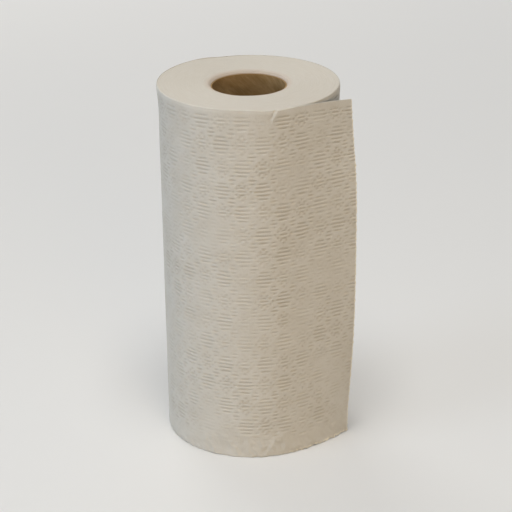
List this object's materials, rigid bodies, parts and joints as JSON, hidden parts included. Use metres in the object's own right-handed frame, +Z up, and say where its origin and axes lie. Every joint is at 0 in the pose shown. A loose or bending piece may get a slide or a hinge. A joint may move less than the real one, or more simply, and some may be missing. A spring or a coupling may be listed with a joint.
{
  "type": "paper towel roll",
  "caption": "Free-standing roll of embossed paper towel on an open paperboard core, with the loose end of the sheet curling away from the roll.",
  "frame": {"origin": "point of the core's axis in the plane of the roll's lower end", "axes": "+Z up the core's axis from the end that the roll stands on; the loose tail leaves the front right side and points towards +X"},
  "size_m": [0.1214, 0.1107, 0.23],
  "materials": {
    "core_board": "raw brown paperboard, matte",
    "towel_paper": "soft embossed two-ply tissue, matte off-white"
  },
  "bodies": {
    "root": {"core_tube": "core_board", "towel_web": "towel_paper"}
  },
  "joints": []
}
